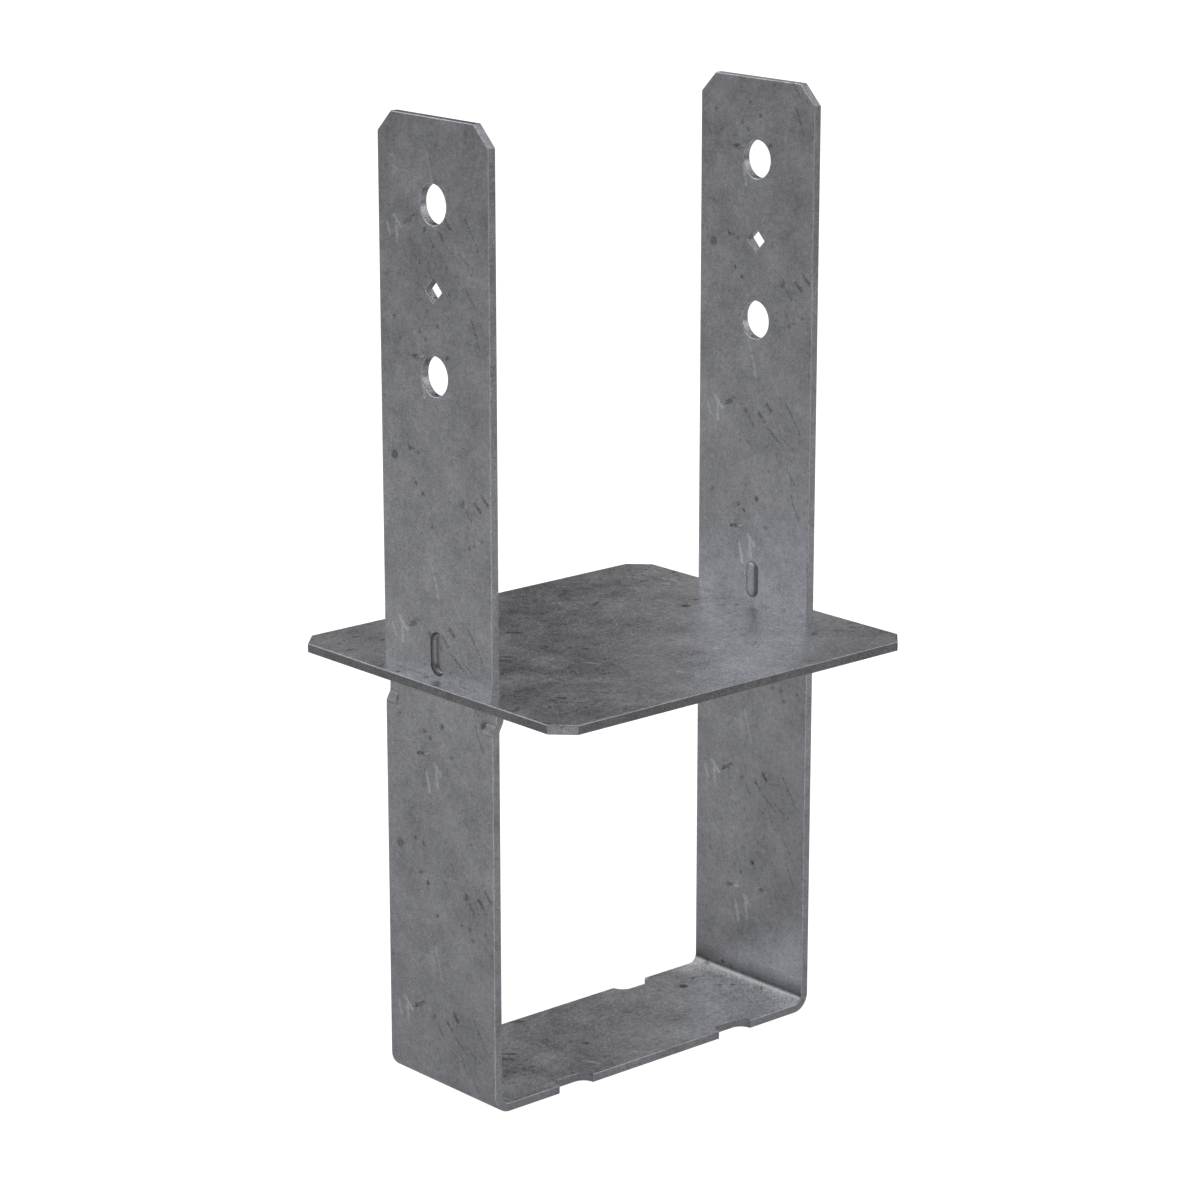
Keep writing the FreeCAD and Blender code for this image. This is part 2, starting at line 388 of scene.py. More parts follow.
def hole_rings(square, hold, edge):
    """Rings from the cell's outline in to a hole's edge."""
    return np.concatenate([blended_rings(square, hold, HOLE_SHARES), edge[None]])


# Strap


def bend_outer_radius(strap):
    """Radius of a bend's outer face."""
    return strap.bend_radius + strap.thickness


def web_flat(strap):
    """Half the length of the web's flat part."""
    return strap.reach - bend_outer_radius(strap)


def bend_length(strap):
    """Length of a bend along the middle of the sheet."""
    return (strap.bend_radius + strap.thickness / 2) * math.pi / 2


def along_at(strap, level):
    """Where a height on a leg lies along the flat strip."""
    return level - bend_outer_radius(strap) + web_flat(strap) + bend_length(strap)


def press_in(scene, level, across, draft):
    """How far a face is pushed in at a height on the leg.

    The shoulders are a step across their lip, times a step up their foot, times a torn edge
    under the plate. The dimple's wall is a quarter of an ellipse, by the distance in from its
    outline, and its crown on the inner face is lower. The draft makes each of them smaller all
    round."""
    strap, press, plate = scene.strap_sizes, scene.press_sizes, scene.plate_sizes
    underside = plate.level - plate.thickness
    beside = strap.width / 2 - press.shoulder_width + draft
    foot = underside - press.shoulder_drop + draft
    shoulder = eased((np.abs(across) - beside) / press.shoulder_lip)
    shoulder = shoulder * eased((level - foot) / press.shoulder_slope)
    shoulder = shoulder * np.clip((underside - level) / press.shear, 0, 1)
    half_line = (press.dimple_length - press.dimple_width) / 2
    beyond = np.maximum(np.abs(level - dimple_level(scene)) - half_line, 0)
    inside = press.dimple_width / 2 - draft - np.hypot(across, beyond)
    share = np.clip(inside / wall_width(press, draft), 0, 1)
    crown = 1 - (1 - press.crown) * draft / press.draft
    return press.depth * (shoulder + crown * np.sqrt(share * (2 - share)))


def wall_width(press, draft):
    """Width of a dimple's curved wall, from the outer face to the inner one."""
    return press.dimple_round + (press.crown_round - press.dimple_round) * draft / press.draft


BEND_PAINTED_SHADE = 1.1          # most painted shade on the inner bends
BEND_LEVEL = 0.85           # its height on the bend, over the bend's radius
BEND_SPREAD = 0.7           # how far the painted shade reaches up and down, over the same
PAINTED_LIGHT_POOL = 1.3                  # most painted light on the web beside the right-hand bend
PAINTED_LIGHT_POOL_START = 0.72           # share of the strap's reach at which the painted light starts
PAINTED_LIGHT_POOL_RISE = 0.2             # share in which it becomes full
PAINTED_LIGHT_POOL_TOP = 0.5              # height above the web at which it ends, over the bend's radius


def painted_shade_and_light_at(scene, points):
    """How much painted shade lies at points of the strap, from about 1 down to 0, or below 0
    where light is painted instead.

    The painted shade dims the highlight where a pressed face looks upwards: the rise of its
    depth with height, and on the inner face its fall. The dimples, above the plate, count less.
    It also darkens the inner bends' upper half, which narrows their highlight. The painted
    light lies on the web beside the right-hand bend, as a pale pool."""
    strap, press, step = scene.strap_sizes, scene.press_sizes, 0.1 * MM
    reach, across, level = np.abs(points[:, 0]), points[:, 1], points[:, 2]
    inner = reach < strap.reach - (strap.thickness + press.depth) / 2
    draft = np.where(inner, press.draft, 0)
    rise = (press_in(scene, level + step, across, draft)
            - press_in(scene, level - step, across, draft)) / (2 * step)
    # Painted shade that dims the highlight on upward-facing pressed slopes, less on the dimples
    share = np.where(level < scene.plate_sizes.level, 1, press.dimple_painted_shade)
    pressed = share * np.clip(np.where(inner, -rise, rise) / press.steep, 0, 1)
    above = (level - strap.thickness) / strap.bend_radius
    # Painted shade on the inner bends' upper half, which narrows their highlight
    bend = BEND_PAINTED_SHADE * eased(1 - np.abs(above - BEND_LEVEL) / BEND_SPREAD)
    # Painted light on the web beside the right-hand bend
    pool = PAINTED_LIGHT_POOL * eased((points[:, 0] / strap.reach - PAINTED_LIGHT_POOL_START) / PAINTED_LIGHT_POOL_RISE)
    pool = np.where(level > strap.thickness / 2, pool * eased(1 - above / PAINTED_LIGHT_POOL_TOP), 0)
    return pressed + np.where(inner, bend - pool, 0)


def dimple_level(scene):
    """Height of a dimple's middle."""
    press = scene.press_sizes
    return scene.plate_sizes.level + press.dimple_gap + press.dimple_length / 2


def place_on_strap(scene, along, across, depth):
    """Folds the flat strip. The web runs straight from the middle. In a bend the point turns
    through a quarter circle round the bend's centre, at the outer radius less its depth, and
    the leg rises straight from there. The pressed shapes add to the depth on the legs."""
    strap, press = scene.strap_sizes, scene.press_sizes
    radius, flat, bend = bend_outer_radius(strap), web_flat(strap), bend_length(strap)
    distance = np.abs(along)
    level = radius + distance - flat - bend
    share = depth / strap.thickness
    outer = press_in(scene, level, across, 0)
    inner = press_in(scene, level, across, press.draft)
    turn = np.clip((distance - flat) / bend, 0, 1) * math.pi / 2
    reach = radius - depth - (1 - share) * outer - share * inner
    x = np.sign(along) * (np.minimum(distance, flat) + reach * np.sin(turn))
    z = radius - reach * np.cos(turn) + np.maximum(level - radius, 0)
    return np.stack(np.broadcast_arrays(x, across, z), axis=-1)


def strap_half_width(strap, along):
    """Half the strip's width: the lesser of the clipped outline and the notches' arcs."""
    outline = clipped_half_width(strap, along_at(strap, strap.height), strap.top_clip, along)
    past = np.abs(np.abs(along) - strap.notch_spacing / 2) - strap.notch_length / 2
    past = np.maximum(past + strap.notch_depth, 0)
    arc = (strap.notch_depth + strap.edge_radius) ** 2 - past ** 2
    return np.minimum(outline, strap.width / 2 - np.sqrt(np.maximum(arc, 0)))


def strap_rows(scene, cells):
    """Positions along the strip: crowded at notches, bends and shoulders, even in the cells."""
    strap, press, plate = scene.strap_sizes, scene.press_sizes, scene.plate_sizes
    inset = strap.edge_radius
    flat, bend, end = web_flat(strap), bend_length(strap), along_at(strap, strap.height)
    arc = strap.notch_depth + inset
    turn = np.linspace(math.asin(inset / arc), math.pi / 2, ARC_ROWS)
    gap = strap.notch_length / 2 - strap.notch_depth + arc * np.cos(turn)
    notch = strap.notch_spacing / 2 + np.concatenate([-gap, gap])
    underside = plate.level - plate.thickness
    foot = underside - press.shoulder_drop
    slope = np.arange(foot - HOLD, foot + press.shoulder_slope + press.draft + HOLD, FOOT_STEP)
    step = np.array([underside - press.shear - HOLD, underside - press.shear,
                     underside, underside + HOLD])
    marks = [[0], notch, [flat - HOLD], flat + bend * np.linspace(0, 1, ARC_ROWS),
             [flat + bend + HOLD], along_at(strap, slope), along_at(strap, step)]
    half = scene.hole_sizes.cell
    marks += [np.linspace(cell - half, cell + half, SIDE + 1) for cell in cells]
    clip = clip_start(strap, end, strap.top_clip)
    marks += [[clip, end - inset - HOLD, end - inset]]
    return both_sides(np.concatenate(marks), ROW_STEP)


def strap_columns(scene):
    """Shares of the way from the cells' side to the strip's edge, crowded at the shoulders."""
    strap, press = scene.strap_sizes, scene.press_sizes
    start, edge = scene.hole_sizes.cell, strap.width / 2 - strap.edge_radius
    lip = strap.width / 2 - press.shoulder_width
    walls = np.linspace(0, 1, LIP_COLUMNS) * press.shoulder_lip
    marks = [[start, edge], [lip - HOLD], lip + walls, lip + press.draft + walls, [edge - HOLD]]
    return (filled(np.concatenate(marks), COLUMN_STEP) - start) / (edge - start)


def strap_patches(scene):
    """Outer and inner face, the rings in the cells, and the rounded edges of all outlines."""
    strap, holes, press = scene.strap_sizes, scene.hole_sizes, scene.press_sizes
    upper = strap.height - holes.bolt_inset
    lower = upper - holes.bolt_pitch
    cells = along_at(strap, np.array([dimple_level(scene), lower, (upper + lower) / 2, upper]))
    rows = strap_rows(scene, cells)
    shares, half = strap_columns(scene), holes.cell
    middle = np.linspace(-half, half, SIDE + 1)[1:-1]
    grid, keep = sheet_grid(rows, half, shares, strap_half_width(strap, rows), middle)
    first = len(shares) - 1
    for centre in np.concatenate([cells, -cells]):
        row = np.searchsorted(rows, centre - half - WELD)
        keep[row:row + SIDE, first:first + SIDE] = False

    def place(along, across, depth):
        """Folds the flat strip."""
        return place_on_strap(scene, along, across, depth)

    inset = strap.edge_radius
    patches = face_patches(grid, keep, strap.thickness, place)
    patches.append(edge_patch(border(grid), inset, strap.thickness, place))
    square = square_ring(half)
    bolt = holes.bolt_diameter / 2 + inset
    bolt_rings = hole_rings(square, round_ring(bolt + HOLD), round_ring(bolt))
    nail = holes.nail_side / math.sqrt(2) + inset * math.sqrt(2)
    nail_rings = hole_rings(square, diamond_ring(nail + HOLD * math.sqrt(2)), diamond_ring(nail))
    for side in (-1, 1):
        for centre, rings in zip(cells[1:], (bolt_rings, nail_rings, bolt_rings)):
            for depth in (0, strap.thickness):
                points = place(side * centre + rings[..., 0], rings[..., 1], depth)
                patches.append(patch(points))
            loop = rings[-1, :0:-1] + (side * centre, 0)
            patches.append(edge_patch(loop, inset, strap.thickness, place))
        for depth, draft in ((0, 0), (strap.thickness, press.draft)):
            rings = dimple_rings(press, square, draft)
            points = place(side * cells[0] + rings[..., 0], rings[..., 1], depth)
            patches.append(patch(points))
    return patches


def dimple_rings(press, square, draft):
    """Rings from the cell's outline in to the dimple's middle line, crowded on its wall."""
    half_line = (press.dimple_length - press.dimple_width) / 2
    rim = press.dimple_width / 2 - draft
    turn = np.linspace(0, math.pi / 2, WALL_RINGS)
    wall = rim - wall_width(press, draft) * (1 - np.cos(turn))
    distances = np.concatenate([[rim + HOLD], wall, wall[-1] * np.array(CROWN_SHARES)])
    rings = stadium_rings(half_line, distances)
    return np.concatenate([blended_rings(square, rings[0], DIMPLE_SHARES), rings])


# Plate


def plate_patches(scene):
    """Upper and lower face with the slots left open, and the rounded edges of all outlines."""
    plate, strap = scene.plate_sizes, scene.strap_sizes
    inset = plate.edge_radius
    gap = plate.slot_clearance + plate.slot_radius
    near, far = strap.reach - strap.thickness - gap, strap.reach + gap
    rows = both_sides([0, near - HOLD, near, clip_start(plate, plate.reach, plate.clip), far,
                       far + HOLD, plate.reach - inset - HOLD, plate.reach - inset], PLATE_STEP)
    half = strap.width / 2 + gap
    edge = plate.width / 2 - inset
    columns = filled([half, half + HOLD, edge - HOLD, edge], PLATE_STEP)
    shares = (columns - half) / (edge - half)
    middle = filled([-half, -half + HOLD, half - HOLD, half], PLATE_STEP)[1:-1]
    outline = clipped_half_width(plate, plate.reach, plate.clip, rows)
    grid, keep = sheet_grid(rows, half, shares, outline, middle)

    def place(along, across, depth):
        """Lays the flat sheet level: its depth goes down from the top face."""
        return np.stack(np.broadcast_arrays(along, across, plate.level - depth), axis=-1)

    first, last = len(shares) - 1, len(shares) + len(middle)
    loops = []
    for low, high in ((near, far), (-far, -near)):
        start, stop = np.searchsorted(rows, [low - WELD, high - WELD])
        keep[start:stop, first:last] = False
        loops.append(border(grid[start:stop + 1, first:last + 1])[::-1])
    patches = face_patches(grid, keep, plate.thickness, place)
    patches.append(edge_patch(border(grid), inset, plate.thickness, place))
    for loop in loops:
        patches.append(edge_patch(loop, plate.slot_radius, plate.thickness, place))
    return patches


# Zinc finish


def feed(tree, node, inputs):
    """Links a node's inputs to sockets, or sets them to values."""
    for key, value in dict(inputs).items():
        if isinstance(value, bpy.types.NodeSocket):
            tree.links.new(value, node.inputs[key])
        else:
            node.inputs[key].default_value = value


def put(tree, kind, inputs=(), **settings):
    """A shader node with its inputs and settings."""
    node = tree.nodes.new("ShaderNode" + kind)
    for name, value in settings.items():
        setattr(node, name, value)
    feed(tree, node, inputs)
    return node


def maths(tree, operation, *values, clamp=False):
    """The result of a Math node."""
    node = put(tree, "Math", enumerate(values), operation=operation, use_clamp=clamp)
    return node.outputs[0]


def vectors(tree, operation, *values):
    """The vector from a Vector Math node."""
    node = put(tree, "VectorMath", enumerate(values), operation=operation)
    return node.outputs["Vector"]


def measure(tree, operation, *values):
    """The value from a Vector Math node."""
    node = put(tree, "VectorMath", enumerate(values), operation=operation)
    return node.outputs["Value"]


def scaled(tree, vector, scale):
    """A vector times a value."""
    node = put(tree, "VectorMath", {0: vector, "Scale": scale}, operation="SCALE")
    return node.outputs["Vector"]


def mixed(tree, share, first, second):
    """A value between two, by a share."""
    return put(tree, "Mix", {0: share, 2: first, 3: second}).outputs[0]


def mixed_vector(tree, share, first, second):
    """A vector between two, by a share."""
    inputs = {0: share, 4: first, 5: second}
    return put(tree, "Mix", inputs, data_type="VECTOR").outputs[1]


def ramp(tree, value, start, stop, top=1.0, shape="LINEAR"):
    """Goes from 0 where a value is at the start to the top where it is at the stop."""
    inputs = {"Value": value, "From Min": start, "From Max": stop, "To Max": top}
    return put(tree, "MapRange", inputs, interpolation_type=shape).outputs[0]


def new_group(name, inputs, outputs):
    """An empty node group with its sockets, what its input node gives, and its output node."""
    group = bpy.data.node_groups.new(name, "ShaderNodeTree")
    kinds = {"value": "NodeSocketFloat", "vector": "NodeSocketVector"}
    for sockets, way in ((inputs, "INPUT"), (outputs, "OUTPUT")):
        for socket, kind in sockets.items():
            group.interface.new_socket(name=socket, in_out=way, socket_type=kinds[kind])
    given = group.nodes.new("NodeGroupInput").outputs
    return group, given, group.nodes.new("NodeGroupOutput")


def use_group(tree, group, **inputs):
    """A node that runs a group in another tree."""
    return put(tree, "Group", inputs, node_tree=group)


# The zinc skin is laid out in millimetres
SKIN_PERIOD = 184.3         # distance after which the marks come again
PLATE_TOP = 200.2           # level from which they are counted
RIGHT_LEG_DROP = 74.2       # the right half's marks lie this much higher
FLAT_SHIFT = (-96.4, 82.4)  # start of the marks on faces that lie flat
FLAT_GRAIN = 2.0            # how much stronger the grain is on them
FLAT_CLOUDS = 1.6           # how much stronger the mottling is
FLAT_MARKS = 1.5            # how much stronger the pits and scuffs are
OTHER_SHIFT = (31, 57, 0)   # move of the marks on faces that look right, back or down
MISSING = (4.0, 0.7)        # how sharply and how widely marks are missing there
CLOUD_SCALE = 0.03          # swirls of the mottling in a millimetre
GRAIN_SCALES = (2.4, 0.4)   # swirls of the fine and of the coarse grain
FINE_GRAIN = 3.8            # strength of the fine grain over the coarse one's
PIT_SCALE = 0.19            # cells in a millimetre, with one pit or none in each
PIT_EDGE = (0.17, 0.05)     # distances in a cell at which a pit starts and is full
PIT_SPREAD = 0.2            # how unlike each other the pits are
PIT_STRENGTH = 0.6
STROKE_EDGE = (1.3, 0.2)    # widths from a stroke's line at which it starts and is full
SHAKE_SCALE = 0.7           # swirls in which the strokes' outlines wander
SHAKE = (2.2, 2.2, 0.0)     # how far they wander
BROKEN_SCALE = 1.1          # swirls that break the strokes up
BROKEN = (1.5, 0.9)         # how sharply and how widely they do
EDGE_PITS_SCALE = 0.9       # swirls of the pitting in cut edges
DULLING = (0.05, 0.008, 0.2)    # what the mottling, the grain and the pits add to the roughness
RELIEF = (0.1, 0.015, -0.8)     # and to the height


def skin_place_group():
    """Where a point lies on the zinc skin, in millimetres.

    A face is laid out by its main direction: one that faces along X by Y and Z, one that
    faces along Y by X and Z, and a flat one by X and Y. On faces that look right, back or down
    the layout is mirrored and moved. Flat and Other tell these faces."""
    group, given, end = new_group("Skin place", {}, {"Place": "vector", "Tiled": "vector",
                                                     "Flat": "value", "Other": "value"})
    where = put(group, "TexCoord").outputs["Object"]
    place = scaled(group, where, 1 / MM)
    spot = put(group, "SeparateXYZ", {0: place}).outputs
    normal = put(group, "NewGeometry").outputs["Normal"]
    facing = vectors(group, "ABSOLUTE", normal)
    other = maths(group, "GREATER_THAN", measure(group, "DOT_PRODUCT", normal, (1, 1, -1)), 0.0)
    way = put(group, "SeparateXYZ", {0: facing}).outputs
    side = maths(group, "GREATER_THAN", way[0], way[1])
    level = maths(group, "GREATER_THAN", way[2], maths(group, "MAXIMUM", way[0], way[1]))
    right = maths(group, "GREATER_THAN", spot[0], 0.0)
    height = maths(group, "SUBTRACT", spot[2], PLATE_TOP)
    side_height = maths(group, "SUBTRACT", height, maths(group, "MULTIPLY", right, RIGHT_LEG_DROP))
    on_side, on_front, on_flat = (
        put(group, "CombineXYZ", {0: x, 1: y}).outputs[0] for x, y in (
            (maths(group, "MULTIPLY", spot[1], -1.0), side_height), (spot[0], height),
            [maths(group, "ADD", spot[i], FLAT_SHIFT[i]) for i in (0, 1)]))
    upright = mixed_vector(group, side, on_front, on_side)
    chosen = mixed_vector(group, level, upright, on_flat)
    mirrored = vectors(group, "MULTIPLY_ADD", chosen, (-1, 1, 1), OTHER_SHIFT)
    chosen = mixed_vector(group, other, chosen, mirrored)
    half = SKIN_PERIOD / 2
    tiled = vectors(group, "WRAP", chosen, (half, SKIN_PERIOD, 1.0), (-half, 0.0, -1.0))
    feed(group, end, {"Place": chosen, "Flat": level, "Other": other, "Tiled": tiled})
    return group


def stroke_group():
    """A soft stroke with round ends: 1 on the line from start to end, falling to 0 at its
    width."""
    group, given, end = new_group(
        "Stroke", {"Place": "vector", "Start": "vector", "End": "vector", "Width": "value"},
        {"Mask": "value"})
    line = vectors(group, "SUBTRACT", given["End"], given["Start"])
    away = vectors(group, "SUBTRACT", given["Place"], given["Start"])
    share = maths(group, "DIVIDE", measure(group, "DOT_PRODUCT", away, line),
                  measure(group, "DOT_PRODUCT", line, line), clamp=True)
    gap = measure(group, "DISTANCE", away, scaled(group, line, share))
    mask = ramp(group, maths(group, "DIVIDE", gap, given["Width"]), *STROKE_EDGE,
                shape="SMOOTHSTEP")
    feed(group, end, {"Mask": mask})
    return group


# Strokes on the skin: start and end, width and strength. A dot has no end
DEEP_STROKES = (
    (-29, 99, 2.6, 0.9), (-18, 104, 1.3, 0.8), (-14, 88.5, 1.4, 0.8), (-9, 84.5, 1.4, 0.8),
    (32, 70, 1.3, 0.6), (2.5, 162, 1.6, 0.8), (9, 149, 1.5, 0.7), (70, 75, 1.6, 0.8),
)
DARK_STROKES = (
    (9, 25.2, 11.5, 22.2, 1.2, 0.8), (-19, 22.2, -13, 25.2, 0.8, 0.7), (-12, 103, 1.3, 0.7),
    (-2.5, 70, 1.3, 0.7), (15, 70, 1.2, 0.6), (21, 70, 1.2, 0.6), (23, 65, 1.2, 0.6),
    (19, 85, 18, 84, 1.8, 0.7), (32, 91, 36, 87, 1.1, 0.8), (27, 86, 31, 83, 1.1, 0.8),
    (21, 82, 24, 78, 1.0, 0.5), (-20, 20.7, -15, 22.7, 0.7, 0.8), (-5.5, 19.7, 1.7, 0.8),
    (4, 19.7, 7, 16.7, 1.1, 0.7), (-2.5, 16.7, 0, 12.7, 1.2, 0.4), (22, 27.7, 31, 14.7, 0.6, 0.6),
    (10, 13.7, 18, 7.7, 0.6, 0.6), (18, 11.7, 24, 7.7, 0.6, 0.6), (23, 180, 29, 173, 0.6, 0.6),
    (26, 168, 31.5, 156, 0.6, 0.6), (-9.5, 4.7, 1.0, 0.6), (-3.5, 4.7, 1.0, 0.6),
    (9, 4.7, 1.0, 0.6), (-1.3, 183.4, 0.9, 0.6), (16, 1.7, 1.0, 0.6), (17.5, 183, 0.9, 0.6),
    (10.5, 177, 1.0, 0.6), (27, 6.7, 1.0, 0.6), (-10, 157.5, 1.5, 0.7), (-6, 155, 1.5, 0.7),
    (-5, 168, 1.3, 0.6), (-28, 162, 1.5, 0.7), (-15, 146, -11, 146.6, 1.2, 0.9),
    (60, 120, 66, 116, 1.2, 0.7), (-60, 130, -55, 133, 1.1, 0.7), (48, 40, 52, 38, 1.3, 0.7),
    (-75, 60, 1.5, 0.7), (-52, 28, -47, 31, 1.0, 0.6),
)
PALE_STROKES = (
    (-27, 23.7, -22, 18.7, 1.2, 0.9), (-25.5, 20.7, -25, 12.7, 1.1, 0.8),
    (-32, 19.7, -30, 14.7, 1.1, 0.8), (-3, 143, 1, 139, 1.2, 0.9), (-2, 140, -1, 132, 1.1, 0.8),
    (-9, 138, -7, 129, 1.2, 0.9), (-11, 146.6, -8, 147, 0.8, 0.8), (-4, 55, 1, 38, 0.9, 0.5),
    (-6.5, 42, -6.5, 52, 4.0, 0.25), (-29, 99, 1.2, 0.6), (40, 100, 44, 92, 1.1, 0.7),
    (55, 60, 58, 52, 1.1, 0.7), (-50, 90, -46, 84, 1.1, 0.7), (-70, 150, -66, 143, 1.1, 0.7),
    (75, 25, 78, 17, 1.1, 0.6),
)


def strokes_group(name, strokes, stroke):
    """A set of strokes: the strongest of them at a point."""
    group, given, end = new_group(name, {"Place": "vector"}, {"Mask": "value"})
    strongest = 0.0
    for *ends, width, strength in strokes:
        node = use_group(group, stroke, Place=given["Place"], Start=(*ends[:2], 0),
                         End=(*ends[-2:], 0), Width=width)
        mask = maths(group, "MULTIPLY", node.outputs["Mask"], strength)
        strongest = maths(group, "MAXIMUM", mask, strongest)
    feed(group, end, {"Mask": strongest})
    return group


def noise(tree, place, scale, detail, roughness=0.55, whorl=0.0):
    """Smooth random values about 0, from about -1 to 1."""
    node = put(tree, "TexNoise", {"Vector": place, "Scale": scale, "Detail": detail,
                                  "Roughness": roughness, "Distortion": whorl})
    return maths(tree, "MULTIPLY_ADD", node.outputs[0], 4.0, -2.0)


def skin_group():
    """The zinc skin's tone, dullness, height and pitting at a point.

    Tone is 1 plus a mottling that is equally strong at every size from 30 mm down to 0.3 mm,
    less the pits and plus the scuffs. Both are broken up by a grain of their own."""
    group, given, end = new_group(
        "Zinc skin", {"Cloud": "value", "Grain": "value", "Marks": "value", "Dullness": "value"},
        {"Tone": "value", "Roughness": "value", "Height": "value", "Pitting": "value"})
    places = use_group(group, skin_place_group()).outputs
    place, flat = places["Place"], places["Flat"]
    missing = maths(group, "MULTIPLY_ADD", noise(group, place, CLOUD_SCALE, 1.0), *MISSING,
                    clamp=True)

    def on_flat(value, more):
        """Makes a value stronger on the faces that lie flat."""
        return maths(group, "MULTIPLY", value, maths(group, "MULTIPLY_ADD", flat, more - 1, 1.0))

    def thinned(mask, faces):
        """Leaves a mask out of broad patches of some faces."""
        gone = maths(group, "MULTIPLY", missing, faces)
        return maths(group, "MULTIPLY", mask, maths(group, "SUBTRACT", 1.0, gone))

    clouds = on_flat(noise(group, place, CLOUD_SCALE, 4.0, 0.8), FLAT_CLOUDS)
    fine = noise(group, place, GRAIN_SCALES[0], 2.0, 0.95, 0.8)
    coarse = noise(group, place, GRAIN_SCALES[1], 2.0, 0.95, 0.6)
    grain = on_flat(maths(group, "MULTIPLY_ADD", fine, FINE_GRAIN, coarse), FLAT_GRAIN)
    wobble = put(group, "TexNoise", {"Vector": place, "Scale": SHAKE_SCALE, "Detail": 2.0})
    wander = vectors(group, "SUBTRACT", wobble.outputs["Color"], (0.5, 0.5, 0.5))
    shaken = vectors(group, "ADD", places["Tiled"], vectors(group, "MULTIPLY", wander, SHAKE))
    stroke = stroke_group()
    deep, dark, pale = (
        use_group(group, strokes_group(name, strokes, stroke), Place=shaken).outputs["Mask"]
        for name, strokes in (("Deep pits", DEEP_STROKES), ("Dark strokes", DARK_STROKES),
                              ("Pale scuffs", PALE_STROKES)))
    specks = put(group, "TexVoronoi", {"Vector": place, "Scale": PIT_SCALE}).outputs
    chance = put(group, "SeparateColor", {0: specks["Color"]}).outputs[0]
    away = maths(group, "MULTIPLY_ADD", chance, PIT_SPREAD, specks["Distance"])
    deep = maths(group, "MAXIMUM", deep, ramp(group, away, *PIT_EDGE, PIT_STRENGTH, "SMOOTHSTEP"))
    broken = maths(group, "MULTIPLY_ADD", noise(group, place, BROKEN_SCALE, 2.0, 0.8), *BROKEN,
                   clamp=True)
    dark = maths(group, "MULTIPLY", thinned(dark, places["Other"]), broken)
    pale = thinned(pale, maths(group, "MAXIMUM", places["Other"], flat))
    pale = maths(group, "MULTIPLY", pale, broken)
    marks = maths(group, "SUBTRACT", pale, maths(group, "MAXIMUM", dark, deep))
    tone = maths(group, "MULTIPLY_ADD", clouds, given["Cloud"], 1.0)
    tone = maths(group, "MULTIPLY_ADD", grain, given["Grain"], tone)
    tone = maths(group, "MULTIPLY_ADD", on_flat(marks, FLAT_MARKS), given["Marks"], tone)
    dull, high = given["Dullness"], 0.0
    for value, duller, higher in zip((clouds, grain, deep), DULLING, RELIEF):
        dull = maths(group, "MULTIPLY_ADD", value, duller, dull)
        high = maths(group, "MULTIPLY_ADD", value, higher, high)
    feed(group, end, {"Tone": tone, "Roughness": dull, "Height": high,
                      "Pitting": noise(group, place, EDGE_PITS_SCALE, 3.0, 0.8)})
    return group


CUT_RIM = (0.7, 1.0)        # rim values at which the tone of the cut edge starts and is full
WORN_AND_HIGHLIT_RIM = (0.45, 0.25)     # distances from a value of 0.5 at which the worn and highlit tone does


def new_material(name):
    """A material, its node tree and its shader."""
    material = bpy.data.materials.new(name)
    material.use_nodes = True
    return material, material.node_tree, material.node_tree.nodes["Principled BSDF"]


def zinc_skin():
    """The skin's node group, made once and used by both materials."""
    return bpy.data.node_groups.get("Zinc skin") or skin_group()


